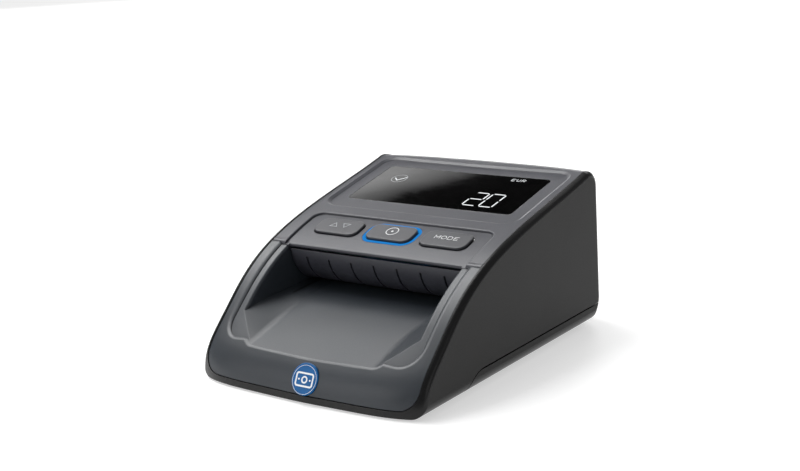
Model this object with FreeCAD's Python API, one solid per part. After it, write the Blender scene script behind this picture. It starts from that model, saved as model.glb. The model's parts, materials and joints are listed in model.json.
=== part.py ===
import FreeCAD, Part
import math
import os

from functools import lru_cache
from FreeCAD import Vector

os.makedirs("parts", exist_ok=True)

# Banknote counting machine, single-note infeed, in millimetres.
# X is to the right seen from the front, Y runs to the rear, Z is up.
# The origin is on the table, under the middle of the machine.

# ---------------------------------------------------------------- driving dimensions
WIDTH = 128.0
DEPTH = 168.0
FOOT_H = 1.0            # the case floats this far above the table on its feet
WALL = 2.2              # moulded wall thickness
GAP = 0.3               # gap between neighbouring mouldings
EDGE_R = 3.2            # rounding of the rim along the case's upper edges
KEEL_R = 6.0            # rounding of the long edges underneath
REAR_TOP_R = 8.4
REAR_LOW_R = 12.0
SKIN = 0.35             # how far the grey mouldings lie under the black rim
OPENING_HALF = 61.0     # half width between the two black rims
STRIP_TOP = 4.0         # top of the black strip under the apron
PAN_TOP = 9.1           # seam between base pan and housing
PAN_FRONT = -42.5       # where that seam dips to the underside
SEAM = 0.7              # width of that seam
FLOOR_HALF = 56.0       # half width of the pan's flat floor ahead of the seam

LIP_STEP = 1.1          # step down from the arm's outer band to its inner band
LIP_HALF = 54.4
LIP_FRONT = -70.5
TRAY_LOW = 12.0         # all of the tray's softened edges lie higher than this
BASIN_HALF = 50.0
FLOOR_FLAT_HALF = 36.0

PATH_Z = 31.2           # upper face of the lower transport plate
PATH_GAP = 2.0          # height of the banknote path
FRONT_SHAFT_Y = 8.0
REAR_SHAFT_Y = 52.0
DRIVE_R = 7.0
PINCH_R = 5.0
SHAFT_R = 2.0
BUSH_R = 3.5
RUN = 0.05              # radial clearance of a running fit
ROLLER_PROUD = 0.6      # how far a drive roller stands above the plate

BUTTON_Y = -7.4
BUTTON_PITCH = 31.4
BUTTON_LEN = 26.0
BUTTON_WID = 12.8
BUTTON_CORNER = 4.4
BUTTON_PROUD = 1.2
PANEL_DEPTH = 1.1
DISPLAY_DEPTH = 0.9
LENS_HALF = 48.4
LENS_FRONT = 21.4
LENS_REAR = 61.4
LENS_T = 1.2
CHEEK_X = 51.0          # inner face of the transport frame's side cheeks

HALF = WIDTH / 2
FRONT = -DEPTH / 2
REAR = DEPTH / 2

# Crown of the case from the foot of the apron to the top of the rear edge: (y, z)
CROWN = [(FRONT, FOOT_H), (-83.5, 5.5), (-81.4, 11.5), (-77.0, 17.2), (-70.5, 23.0), (-62.0, 30.0),
         (-52.0, 38.2), (-37.5, 47.8), (-22.0, 55.0), (0.0, 62.1), (25.0, 68.0), (50.0, 73.1), (74.0, 77.6)]


# ---------------------------------------------------------------- plain helpers
def box(x0, x1, y0, y1, z0, z1):
    return Part.makeBox(x1 - x0, y1 - y0, z1 - z0, Vector(x0, y0, z0))


def rod_x(x0, x1, y, z, r):
    return Part.makeCylinder(r, x1 - x0, Vector(x0, y, z), Vector(1, 0, 0))


def rod_y(y0, y1, x, z, r):
    return Part.makeCylinder(r, y1 - y0, Vector(x, y0, z), Vector(0, 1, 0))


def rod_z(z0, z1, x, y, r):
    return Part.makeCylinder(r, z1 - z0, Vector(x, y, z0), Vector(0, 0, 1))


def polygon(points):
    return Part.makePolygon(points + [points[0]])


def prism_x(points, x0, x1):
    wire = polygon([Vector(x0, y, z) for y, z in points])
    return Part.Face(wire).extrude(Vector(x1 - x0, 0, 0))


def upright_edges(shape, direction):
    found = []
    for edge in shape.Edges:
        if len(edge.Vertexes) == 2:
            run = edge.Vertexes[1].Point.sub(edge.Vertexes[0].Point)
            if run.Length > 1e-6 and abs(abs(run.normalize().dot(direction)) - 1) < 1e-6:
                found.append(edge)
    return found


def middle(edge):
    return edge.valueAt((edge.FirstParameter + edge.LastParameter) / 2)


def rounded_block(length, width, height, corner):
    """Block centred on X and Y, standing on Z 0, with its four upright edges rounded."""
    block = box(-length / 2, length / 2, -width / 2, width / 2, 0, height)
    return block.makeFillet(corner, upright_edges(block, Vector(0, 0, 1)))


def mirrored(shape):
    return shape.mirror(Vector(0, 0, 0), Vector(1, 0, 0))


def both_sides(shape):
    return [shape, mirrored(shape)]


def save(name, shape):
    shape.exportStep("parts/" + name + ".step")
    solids = shape.Solids
    print(name, len(solids), round(sum(s.Volume for s in solids)), "valid" if shape.isValid() else "NOT VALID")


def save_group(name, shapes):
    save(name, Part.makeCompound(shapes))


# ---------------------------------------------------------------- the case's outer form
def smooth_step(t):
    t = min(max(t, 0.0), 1.0)
    return t * t * (3 - 2 * t)


def bow(x, y):
    """How far the apron and the rear wall curve inwards away from the middle."""
    s = abs(x) / HALF
    front = (4.0 * s ** 2 + 4.0 * s ** 8) * max(0.0, (-10.0 - y) / 74.0) ** 1.5
    rear = (3.5 * s ** 2 + 2.5 * s ** 8) * smooth_step((y - 45.0) / 29.0)
    return front - rear


@lru_cache
def crown_curve():
    curve = Part.BSplineCurve()
    curve.interpolate([Vector(0, y, z) for y, z in CROWN])
    return curve


def crown_tangent(y, z):
    curve = crown_curve()
    return curve.tangent(curve.parameter(Vector(0, y, z)))[0]


def crown_frame(y, inset):
    """Point under the crown at y, and the crown's slope there in degrees."""
    curve = crown_curve()
    cut = curve.intersect(Part.Line(Vector(0, y, 0), Vector(0, y, 1)))[0]
    where = Vector(0, cut.Y, cut.Z)
    run = curve.tangent(curve.parameter(where))[0]
    point = where.add(Vector(0, run.z, -run.y) * inset)
    return point, math.degrees(math.atan2(run.z, run.y))


def section(x, inset):
    def at(y, z):
        return Vector(x, y + bow(x, y), z)

    points = []
    for y, z in CROWN:
        run = crown_tangent(y, z)
        points.append((y + run.z * inset, z - run.y * inset))
    floor = FOOT_H + inset
    points[0] = (points[0][0], floor)
    crown = Part.BSplineCurve()
    crown.interpolate([at(y, z) for y, z in points])

    last = crown_tangent(*CROWN[-1])
    lean = math.atan2(last.z, last.y)
    middle_y = CROWN[-1][0] + REAR_TOP_R * math.sin(lean)
    middle_z = CROWN[-1][1] - REAR_TOP_R * math.cos(lean)
    top_r = REAR_TOP_R - inset
    half_turn = (math.pi / 2 + lean) / 2
    shift = bow(x, CROWN[-1][0])
    top_mid = Vector(x, middle_y + top_r * math.cos(half_turn) + shift, middle_z + top_r * math.sin(half_turn))
    top_end = Vector(x, middle_y + top_r + shift, middle_z)

    low_r = REAR_LOW_R - inset
    slant = low_r * math.sqrt(0.5)
    low_start = Vector(x, top_end.y, floor + low_r)
    low_mid = Vector(x, top_end.y - low_r + slant, floor + low_r - slant)
    low_end = Vector(x, top_end.y - low_r, floor)

    edges = [crown.toShape(),
             Part.Arc(at(*points[-1]), top_mid, top_end).toShape(),
             Part.makeLine(top_end, low_start),
             Part.Arc(low_start, low_mid, low_end).toShape(),
             Part.makeLine(low_end, at(*points[0]))]
    return Part.Wire(edges)


@lru_cache
def envelope(inset):
    """The whole case as one solid, drawn in by the inset on every side."""
    half = HALF - inset
    body = Part.makeLoft([section(half * f, inset) for f in (-1, -0.85, -0.5, 0, 0.5, 0.85, 1)], True, False)
    rim = []
    for edge in body.Edges:
        bounds = edge.BoundBox
        on_side = bounds.XLength < 0.01 and abs(abs(bounds.XMax) - half) < 0.01
        if on_side and bounds.ZMax > FOOT_H + inset + 0.05:
            rim.append(edge)
    return body.makeFillet(max(EDGE_R - inset, 0.5), rim)


def hull(inset):
    """The envelope with its long lower edges rounded further."""
    keel = box(inset - HALF, HALF - inset, -100, 100, FOOT_H + inset, 120)
    lower = [e for e in upright_edges(keel, Vector(0, 1, 0)) if middle(e).z < 60]
    return envelope(inset).common(keel.makeFillet(KEEL_R - inset, lower))


def plan_region(half, rear, corner):
    """Upright prism: the outline of the top cover seen from above, reaching well past the front."""
    side_y = rear - 3.9
    wire = Part.Wire([Part.makeLine(Vector(-half, -120, 0), Vector(half, -120, 0)),
                      Part.makeLine(Vector(half, -120, 0), Vector(half, side_y, 0)),
                      Part.Arc(Vector(half, side_y, 0), Vector(0, rear, 0), Vector(-half, side_y, 0)).toShape(),
                      Part.makeLine(Vector(-half, side_y, 0), Vector(-half, -120, 0))])
    prism = Part.Face(wire).extrude(Vector(0, 0, 100))
    corners = [e for e in upright_edges(prism, Vector(0, 0, 1)) if e.Vertexes[0].Y > 0]
    return prism.makeFillet(corner, corners)


def front_region(half, low, corner):
    """Prism along Y: the tray's outline seen from the front, open at the top."""
    block = box(-half, half, -120, 0, low, 120)
    corners = [e for e in upright_edges(block, Vector(0, 1, 0)) if e.Vertexes[0].Z < low + 1]
    return block.makeFillet(corner, corners)


OUTER = hull(0)
INNER = hull(WALL)
SURFACE = envelope(SKIN)
SURFACE_IN = envelope(SKIN + WALL)

HINGE_POINT, HINGE_SLOPE = crown_frame(-22.6, SKIN + 2.5)
HINGE_Y = HINGE_POINT.y
HINGE_Z = HINGE_POINT.z
NOSE_R = 2.5
PIN_R = 1.0
PIN_END = 61.9          # how far the hinge pins reach into the rims


def skin_edges(shape, y0, y1, half):
    """Edges that a recess leaves on the grey mouldings' outer skin, between y0 and y1."""
    skin = Part.Shell(SURFACE.Faces)
    found = []
    for edge in shape.Edges:
        mid = middle(edge)
        if abs(mid.x) < half and y0 < mid.y < y1 and mid.z > TRAY_LOW and edge.Length > 0.3:
            if Part.Vertex(mid).distToShape(skin)[0] < 0.02:
                found.append(edge)
    return found


# ---------------------------------------------------------------- case mouldings
def pan_zone(grow):
    """Side view of the base pan: low at the front, swept up to its level seam."""
    top = PAN_TOP + grow
    front = PAN_FRONT - grow
    rise = Part.Arc(Vector(-70, front, 2.2), Vector(-70, front + 3.9, 6.6), Vector(-70, -29.0, top))
    edge = [rise.toShape(),
            Part.makeLine(Vector(-70, -29.0, top), Vector(-70, 100, top)),
            Part.makeLine(Vector(-70, 100, top), Vector(-70, 100, 0)),
            Part.makeLine(Vector(-70, 100, 0), Vector(-70, front, 0)),
            Part.makeLine(Vector(-70, front, 0), Vector(-70, front, 2.2))]
    return Part.Face(Part.Wire(edge)).extrude(Vector(140, 0, 0))


def floor_plate(grow):
    lowered = envelope(WALL + 0.3 - grow).copy()
    lowered.translate(Vector(0, 0, -(WALL + 0.3 - grow)))
    return lowered.common(box(-FLOOR_HALF - grow, FLOOR_HALF + grow, -90, PAN_FRONT + 5, 0, 3.0 + grow))


SCREW_XY = [(-47.5, -3), (47.5, -3), (-47.5, 44), (47.5, 44)]
BOARD_XY = [(-10, 0), (38, 0), (-10.5, 61), (38, 72)]
BATTERY_X = 36.0
BATTERY_Y0 = -66.0
BATTERY_Y1 = -32.0


def base_pan():
    pan = OUTER.common(pan_zone(0)).cut(INNER).fuse(floor_plate(0))
    pan = pan.fuse([rod_z(2.5, 9.0, x, y, 3.0) for x, y in BOARD_XY])
    cuts = [rod_z(4.0, 9.5, x, y, 1.1) for x, y in BOARD_XY]
    for x, y in SCREW_XY:
        cuts.append(rod_z(0, 2.2, x, y, 3.0))
        cuts.append(rod_z(0, 4, x, y, 1.7))
    cuts.append(box(-BATTERY_X - GAP, BATTERY_X + GAP, BATTERY_Y0 - GAP, BATTERY_Y1 + GAP, 0, 4))
    for i in range(9):
        cuts.append(box(10, 34, 12 + 4 * i, 13.6 + 4 * i, 0, 4))
    return pan.cut(cuts)


def outer_housing():
    shell = OUTER.cut(INNER)
    shell = shell.cut(pan_zone(SEAM))
    shell = shell.cut(floor_plate(0.2))
    shell = shell.cut(plan_region(OPENING_HALF, 80.8, 8.4).common(box(-70, 70, HINGE_Y - 3, 90, 40, 100)))
    shell = shell.cut(front_region(OPENING_HALF, STRIP_TOP, 9.0).common(box(-70, 70, -120, HINGE_Y, 0, 120)))
    shell = shell.cut(both_sides(rod_x(60.0, PIN_END, HINGE_Y, HINGE_Z, PIN_R)))
    slots = [box(-44, 44, 78, 90, PATH_Z - 0.6, PATH_Z + 3.2)]
    slots.append(rod_y(78, 90, JACK_X, JACK_Z, 4.0))
    slots.append(box(USB_X - 4.6, USB_X + 4.6, 78, 90, USB_Z - 1.9, USB_Z + 1.9))
    slots.append(box(CARD_X - 6.6, CARD_X + 6.6, 78, 90, CARD_Z - 1.1, CARD_Z + 1.1))
    slots.append(box(-RELEASE_HALF - GAP, RELEASE_HALF + GAP, 78, 90, RELEASE_Z - RELEASE_H / 2 - GAP,
                     RELEASE_Z + RELEASE_H / 2 + GAP))
    return shell.cut(slots)


# ---------------------------------------------------------------- infeed tray
def basin(grow):
    """The space above the tray's floor. Grown by the wall, it is the tray's underside."""
    # y, floor height in the middle, floor height beside the walls
    stations = [(-92.0, 13.6, 15.0), (-78.0, 17.6, 20.5), (-64.0, 21.5, 27.2), (-45.0, 26.6, 31.0),
                (-24.0, 30.4, 31.6), (-4.0, 31.5, 31.6)]
    wires = []
    for y, middle, side in stations:
        low = middle - grow
        edge = side - grow
        wires.append(polygon([Vector(-BASIN_HALF - 1 - grow, y, 100), Vector(-BASIN_HALF - grow, y, edge),
                              Vector(-FLOOR_FLAT_HALF, y, low), Vector(FLOOR_FLAT_HALF, y, low),
                              Vector(BASIN_HALF + grow, y, edge), Vector(BASIN_HALF + 1 + grow, y, 100)]))
    return Part.makeLoft(wires, True, False)


def tray_space():
    """The basin with its creases blended."""
    space = basin(0)
    creases = [e for e in space.Edges if e.Length > 60 and abs(abs(middle(e).x) - FLOOR_FLAT_HALF) < 0.5]
    return space.makeFillet(10.0, creases)


def lip_recess():
    """Shallow step along the inner side of both arms, rounded where it meets the apron."""
    block = box(-LIP_HALF, LIP_HALF, LIP_FRONT, 0, 0, 120)
    front = [e for e in upright_edges(block, Vector(0, 0, 1)) if e.Vertexes[0].Y < -60]
    return block.makeFillet(9.0, front).cut(envelope(SKIN + LIP_STEP))


def front_tray():
    outline = front_region(OPENING_HALF - GAP, STRIP_TOP + GAP, 8.7)
    ahead = box(-70, 70, -120, HINGE_Y, 0, 120)
    tray = SURFACE.common(outline).common(ahead).cut(lip_recess())
    tray = tray.makeChamfer(1.4, 0.8, skin_edges(tray, LIP_FRONT - 0.5, HINGE_Y - 3, LIP_HALF + 0.2))
    space = tray_space()
    tray = tray.cut(space)
    tray = tray.makeFillet(3.0, skin_edges(tray, -80, LIP_FRONT + 1.5, 44))
    arms = [e for e in tray.Edges if e.Length > 30 and abs(abs(middle(e).x) - BASIN_HALF - 0.2) < 0.3
            and middle(e).z > 36]
    tray = tray.makeFillet(1.4, arms)
    hollow = SURFACE_IN.common(front_region(OPENING_HALF - GAP - WALL, STRIP_TOP - 1, 7)).common(ahead)
    tray = tray.cut(hollow.cut(basin(WALL)))
    tail = envelope(4.4).common(box(-52.2, 52.2, HINGE_Y - 2, -8, 20, 100)).common(basin(WALL))
    tray = tray.fuse(tail.cut(space))
    tray = tray.cut(rod_x(-70, 70, HINGE_Y, HINGE_Z, NOSE_R + GAP))
    slots = [box(x - 0.5, x + 0.5, -30, -9, 30.2, 40) for x in (-44.5, 44.5)]
    badge_seat = place_on_apron(rod_z(-1.0, 5, 0, 0, BADGE_R + 0.1))
    return tray.cut(slots + [badge_seat])


BADGE_R = 7.3
BADGE_X = 3.0
BADGE_Z = 11.3


def place_on_apron(shape):
    """Moves a piece that lies on XY, facing +Z, on to the apron's middle at the badge's height."""
    curve = crown_curve()
    cut = curve.intersect(Part.Line(Vector(0, 0, BADGE_Z), Vector(0, 1, BADGE_Z)))[0]
    run = curve.tangent(curve.parameter(Vector(0, cut.Y, cut.Z)))[0]
    inward = Vector(0, run.z, -run.y)
    moved = shape.copy()
    moved.rotate(Vector(0, 0, 0), Vector(1, 0, 0), math.degrees(math.atan2(run.z, run.y)))
    moved.translate(Vector(BADGE_X, cut.Y, cut.Z).add(inward * SKIN))
    return moved


def place_on_crown(shape, y, inset):
    """Moves a piece that lies on XY on to the crown's slope at y, the inset below its surface."""
    point, slope = crown_frame(y, inset)
    moved = shape.copy()
    moved.rotate(Vector(0, 0, 0), Vector(1, 0, 0), slope)
    moved.translate(point)
    return moved


# ---------------------------------------------------------------- top cover
def sunk(region, inset):
    return region.cut(envelope(inset))


def panel_recess():
    block = box(-52.6, 52.6, -40, 3.2, 0, 120)
    rear = [e for e in upright_edges(block, Vector(0, 0, 1)) if e.Vertexes[0].Y > 0]
    return sunk(block.makeFillet(5.0, rear), SKIN + PANEL_DEPTH)


def display_recess():
    block = rounded_block(111, 56.5, 120, 7.0)
    block.translate(Vector(0, 40.6, 0))
    return sunk(block, SKIN + DISPLAY_DEPTH)


def lens_region(grow, corner):
    block = rounded_block(2 * LENS_HALF + 2 * grow, LENS_REAR - LENS_FRONT + 2 * grow, 120, corner)
    block.translate(Vector(0, (LENS_REAR + LENS_FRONT) / 2, 0))
    return block


PANEL_INSET = SKIN + PANEL_DEPTH
LENS_INSET = SKIN + DISPLAY_DEPTH
LIP_T = 1.9             # thickness of the cover's front lip
RING_GROW = 1.9
POST_XY = [(-44, 16), (44, 16), (-44, 64), (44, 64)]
POST_LOW = 42.0
HOOK_X = 21.0
LATCH_HALF = 26.0        # half length of the bar that the cover's hooks catch on
LATCH_NOTCH_Y = 60.0    # the cover frame is cut away behind this, so that it swings past the latch


def button_outline(grow, low, high):
    block = rounded_block(BUTTON_LEN + 2 * grow, BUTTON_WID + 2 * grow, high - low, BUTTON_CORNER + grow)
    block.translate(Vector(0, 0, low))
    return block


def top_cover():
    behind = box(-70, 70, HINGE_Y, 90, 45, 120)
    area = plan_region(OPENING_HALF - 0.4, 80.4, 8.0)
    recesses = [panel_recess(), display_recess()]
    cover = SURFACE.cut(recesses)
    cover = cover.makeChamfer(1.6, 0.8, skin_edges(cover, 8, 72, 56))
    cover = cover.makeFillet(0.9, skin_edges(cover, -38, 8, 56))
    cover = cover.cut(SURFACE_IN).common(area).common(behind)
    dropped = SURFACE.copy()
    dropped.translate(Vector(0, 0, -7))
    skirt = SURFACE.common(area).cut(plan_region(OPENING_HALF - 2.2, 78.6, 6.2)).cut(dropped)
    cover = cover.fuse(skirt.common(behind))
    noses = [rod_x(-60.6, -50.4, HINGE_Y, HINGE_Z, NOSE_R), rod_x(50.4, 60.6, HINGE_Y, HINGE_Z, NOSE_R)]
    ramp = envelope(PANEL_INSET).cut(envelope(PANEL_INSET + LIP_T))
    ramp = ramp.common(box(-50.4, 50.4, HINGE_Y - 1.6, HINGE_Y + 1, 40, 60))
    front = [e for e in ramp.Edges if e.BoundBox.YMax < HINGE_Y - 1.5 and e.BoundBox.XLength > 50]
    ramp = ramp.makeFillet(0.8, front)
    posts = [rod_z(POST_LOW, 90, x, y, 3.4) for x, y in POST_XY]
    hooks = [box(x - 3, x + 3, 76.0, 77.8, 56.0, 90) for x in (-HOOK_X, HOOK_X)]
    toes = [box(x - 3, x + 3, 74.0, 77.8, 56.0, 58.4) for x in (-HOOK_X, HOOK_X)]
    inside = SURFACE.common(box(-60, 60, HINGE_Y, 80, 40, 100))
    cover = cover.fuse([p.cut(recesses) for p in noses + [ramp] + [b.common(inside) for b in posts + hooks + toes]])
    cover = cover.cut(sunk(lens_region(0.15, 2.8), LENS_INSET + LENS_T))
    cover = cover.cut(lens_region(-4.0, 2.0).common(box(-60, 60, 0, 80, 40, 100)).cut(posts))
    for i in (-1, 0, 1):
        grow = RING_GROW + 0.1 if i == 0 else 0.35
        hole = button_outline(grow, -8, 5)
        hole.translate(Vector(i * BUTTON_PITCH, 0, 0))
        cover = cover.cut(place_on_crown(hole, BUTTON_Y, PANEL_INSET))
    bores = [rod_x(-61, -55.4, HINGE_Y, HINGE_Z, PIN_R + RUN), rod_x(55.4, 61, HINGE_Y, HINGE_Z, PIN_R + RUN)]
    bores += [rod_z(POST_LOW - 1, POST_LOW + 9, x, y, 1.1) for x, y in POST_XY]
    return cover.cut(bores)


def display_lens():
    skin = envelope(LENS_INSET).cut(envelope(LENS_INSET + LENS_T))
    return skin.common(lens_region(0, 2.6)).common(box(-60, 60, 0, 80, 40, 100))


def button(i):
    cap = button_outline(0, -3.0, BUTTON_PROUD)
    top = [e for e in cap.Edges if e.BoundBox.ZMin > BUTTON_PROUD - 0.01]
    cap = cap.makeFillet(0.7, top)
    cap = cap.cut(button_outline(-1.4, -3.5, -0.6))
    stem = rod_z(-4.2, 0, 0, 0, 1.6)
    if i == -1:
        stem = Part.makeCompound([rod_z(-4.2, 0, x, 0, 1.4) for x in (-8, 8)])
    cap = cap.fuse(stem)
    cap.translate(Vector(i * BUTTON_PITCH, 0, 0))
    return place_on_crown(cap, BUTTON_Y, PANEL_INSET)


def power_ring_light():
    ring = button_outline(RING_GROW, -1.6, 0.0).cut(button_outline(0.5, -2, 1))
    return place_on_crown(ring, BUTTON_Y, PANEL_INSET)


def control_board():
    board = rounded_block(92, 20, 1.6, 2.0)
    board.translate(Vector(0, 0.5, -10.4))
    return place_on_crown(board, BUTTON_Y, PANEL_INSET)


def tact_switches():
    made = []
    for x in (-BUTTON_PITCH - 8, -BUTTON_PITCH + 8, 0, BUTTON_PITCH):
        body = box(x - 3, x + 3, -3, 3, -8.8, -6.2)
        body = body.makeChamfer(0.3, body.Edges)
        plunger = rod_z(-6.3, -5.3, x, 0, 1.6)
        made.append(place_on_crown(body.fuse(plunger), BUTTON_Y, PANEL_INSET))
    return made


def lcd_module():
    glass = rounded_block(86, 30, 2.2, 1.0)
    glass.translate(Vector(0, 0, -4.4))
    frame = rounded_block(90, 35, 3.0, 2.0)
    frame.translate(Vector(0, 0, -7.4))
    return place_on_crown(glass.fuse(frame), (LENS_FRONT + LENS_REAR) / 2, LENS_INSET)


# ---------------------------------------------------------------- ribbed upper guide
GUIDE_TOP = (-23.4, 50.6)
GUIDE_MID = (-20.4, 40.7)
GUIDE_LOW = (-12.6, 33.7)
GUIDE_T = 1.8
RIB_PITCH = 13.4
RIB_COUNT = 7


def guide_band(x0, x1, depth):
    """Curved band between the guide's front face and a copy of it the depth behind."""
    face = [Vector(x0, *GUIDE_TOP), Vector(x0, *GUIDE_MID), Vector(x0, *GUIDE_LOW)]
    outer = Part.Arc(*face)
    centre = Part.Circle(*face).Center
    radius = face[0].distanceToPoint(centre)
    inner = []
    for y, z in (GUIDE_LOW, GUIDE_MID, GUIDE_TOP):
        ray = Vector(x0, y, z).sub(centre)
        inner.append(centre.add(ray * ((radius - depth) / radius)))
    arc = Part.Arc(*inner)
    wire = Part.Wire([outer.toShape(), Part.makeLine(Vector(x0, *GUIDE_LOW), inner[0]), arc.toShape(),
                      Part.makeLine(inner[2], Vector(x0, *GUIDE_TOP))])
    return Part.Face(wire).extrude(Vector(x1 - x0, 0, 0))


def upper_guide():
    half = BASIN_HALF - 0.6
    low_z = PATH_Z + PATH_GAP
    body = guide_band(-half, half, GUIDE_T)
    foot = prism_x([(-12.7, low_z + 1.7), GUIDE_LOW, (-10.0, low_z), (-4.2, low_z), (-4.2, low_z + GUIDE_T),
                    (-10.9, low_z + GUIDE_T + 0.9)], -half, half)
    cheek = prism_x([(-21.6, 49.0), (-20.2, 44.0), (-14.6, 36.4), (-10.0, low_z + 1), (-4.2, low_z + 1), (-4.2, 47.5),
                     (-19.0, 49.3)], -half, -half + 2.0)
    body = body.fuse([foot, cheek, mirrored(cheek)])
    grooves = []
    for i in range(RIB_COUNT):
        x = (i - (RIB_COUNT - 1) / 2) * RIB_PITCH
        grooves.append(guide_band(x - 0.5, x + 0.5, 1.0).common(box(-60, 60, -40, 0, 30, 47.2)))
    return body.cut(grooves).removeSplitter()


# ---------------------------------------------------------------- transport in the cover
UPPER_Z = PATH_Z + PATH_GAP
PINCH_Z = PATH_Z + ROLLER_PROUD + GAP + PINCH_R
ROLLER_X = (-24.0, 24.0)
ROLLER_HALF = 7.0
SENSOR_Y0 = 21.0
SENSOR_Y1 = 33.0


def roller_windows(low, high, grow_r):
    cuts = []
    for y in (FRONT_SHAFT_Y, REAR_SHAFT_Y):
        for x in ROLLER_X:
            cuts.append(box(x - ROLLER_HALF - 1, x + ROLLER_HALF + 1, y - grow_r, y + grow_r, low, high))
    return cuts


def cover_frame():
    plate = box(-50, 50, -3.6, 74, UPPER_Z, UPPER_Z + 1.6)
    sides = both_sides(box(-50, -48, -3.6, 74, UPPER_Z, 42.0))
    lugs = []
    for y in (16, 64):
        lugs += both_sides(box(33, 48, y - 4, y + 4, POST_LOW - 2.0, POST_LOW))
    ribs = [box(-48, 48, y - 0.8, y + 0.8, UPPER_Z, UPPER_Z + 5) for y in (-2.8, 40.0, 64.0, 73.2)]
    frame = plate.fuse(sides + lugs + ribs)
    cuts = roller_windows(UPPER_Z - 1, UPPER_Z + 3, 6.2)
    cuts.append(box(-LATCH_HALF - 2, LATCH_HALF + 2, LATCH_NOTCH_Y, 80, UPPER_Z - 1, UPPER_Z + 10))
    cuts.append(box(-43.2, 43.2, SENSOR_Y0 - 0.2, SENSOR_Y1 + 0.2, UPPER_Z - 1, UPPER_Z + 3))
    cuts += [rod_z(POST_LOW - 3, POST_LOW + 1, x, y, 1.4) for x, y in POST_XY]
    for y in (FRONT_SHAFT_Y, REAR_SHAFT_Y):
        cuts.append(rod_x(-52, 52, y, PINCH_Z, 1.5 + RUN))
    return frame.cut(cuts).removeSplitter()


def cover_screws():
    made = []
    for x, y in POST_XY:
        head = rod_z(POST_LOW - 3.8, POST_LOW - 2.0, x, y, 2.6)
        head = head.makeChamfer(0.4, [e for e in head.Edges if e.BoundBox.ZMax < POST_LOW - 3.7])
        shank = rod_z(POST_LOW - 2.0, POST_LOW + 8, x, y, 1.1)
        cross = [box(x - 1.4, x + 1.4, y - 0.3, y + 0.3, POST_LOW - 4, POST_LOW - 3.0),
                 box(x - 0.3, x + 0.3, y - 1.4, y + 1.4, POST_LOW - 4, POST_LOW - 3.0)]
        made.append(head.fuse(shank).cut(cross))
    return made


def pinch_rollers(y):
    axle = rod_x(-51.5, 51.5, y, PINCH_Z, 1.5)
    tyres = []
    for x in ROLLER_X:
        tyre = rod_x(x - ROLLER_HALF, x + ROLLER_HALF, y, PINCH_Z, PINCH_R)
        tyres.append(tyre.makeChamfer(0.5, [e for e in tyre.Edges if e.Closed]))
    grooves = []
    for x in ROLLER_X:
        for side in (-3, 3):
            ring = rod_x(x + side - 0.4, x + side + 0.4, y, PINCH_Z, PINCH_R + 1)
            grooves.append(ring.cut(rod_x(x + side - 0.4, x + side + 0.4, y, PINCH_Z, PINCH_R - 0.5)))
    return axle.fuse(tyres).cut(grooves)


def pinch_springs():
    """Leaf springs that press the pinch axles down, one at each end."""
    made = []
    for y in (FRONT_SHAFT_Y, REAR_SHAFT_Y):
        top = PINCH_Z + 1.5 + GAP
        under = POST_LOW - 2.0
        for x in (-36.0, 36.0):
            points = [(y + 11, under - 0.4), (y + 7, under - 0.4), (y, top), (y - 3, top + 0.7), (y - 3, top + 1.1),
                      (y, top + 0.4), (y + 7, under), (y + 11, under)]
            made.append(prism_x(points, x - 2.5, x + 2.5))
    return made


def sensor_bar(z0, z1):
    bar = box(-43, 43, SENSOR_Y0, SENSOR_Y1, z0, z1)
    return bar.makeChamfer(0.6, bar.Edges)


def sensor_glass(z0, z1):
    glass = box(-43, 43, SENSOR_Y0, SENSOR_Y1, z0, z1)
    return glass.makeChamfer(0.3, [e for e in glass.Edges if e.BoundBox.ZLength < 0.01])


# ---------------------------------------------------------------- transport in the base
SHAFT_Z = PATH_Z + ROLLER_PROUD - DRIVE_R
MOTOR_Y = 66.0
MOTOR_Z = 15.5
MOTOR_R = 9.0
MOTOR_PULLEY_R = 4.0
SHAFT_PULLEY_R = 6.0
BELT_X0 = -59.6
BELT_X1 = -55.6


def transport_frame():
    plate = box(-CHEEK_X, CHEEK_X, -7.6, 79.0, PATH_Z - 1.5, PATH_Z)
    cheeks = both_sides(box(-CHEEK_X - 2, -CHEEK_X, -7.6, 76, 12.0, PATH_Z))
    posts = [rod_z(FOOT_H + WALL, PATH_Z, x, y, 3.6) for x, y in SCREW_XY]
    frame = plate.fuse(cheeks + posts)
    cuts = roller_windows(PATH_Z - 3, PATH_Z + 1, DRIVE_R + 0.6)
    cuts.append(box(-43.2, 43.2, SENSOR_Y0 - 0.2, SENSOR_Y1 + 0.2, PATH_Z - 3, PATH_Z + 1))
    cuts += [box(x - 7.2, x + 7.2, 36.8, 42.2, PATH_Z - 3, PATH_Z + 1) for x in (-12, 12)]
    for y in (FRONT_SHAFT_Y, REAR_SHAFT_Y):
        cuts.append(rod_x(-60, 60, y, SHAFT_Z, BUSH_R))
    cuts.append(rod_x(-60, -CHEEK_X + 0.1, MOTOR_Y, MOTOR_Z, 4.0))
    cuts += [rod_z(2, 14, x, y, 1.2) for x, y in SCREW_XY]
    return frame.cut(cuts).removeSplitter()


def shaft_bushes():
    made = []
    for y in (FRONT_SHAFT_Y, REAR_SHAFT_Y):
        bush = rod_x(-CHEEK_X - 2, -CHEEK_X, y, SHAFT_Z, BUSH_R)
        flange = rod_x(-CHEEK_X, -CHEEK_X + 0.8, y, SHAFT_Z, BUSH_R + 1.2)
        made.append(bush.fuse(flange).cut(rod_x(-60, -40, y, SHAFT_Z, SHAFT_R + RUN)))
    return made + [mirrored(b) for b in made]


def drive_shaft(y):
    right_end = 58.0 if y == FRONT_SHAFT_Y else 54.5
    shaft = rod_x(-60.2, right_end, y, SHAFT_Z, SHAFT_R)
    return shaft.makeChamfer(0.4, [e for e in shaft.Edges if e.Closed])


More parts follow.
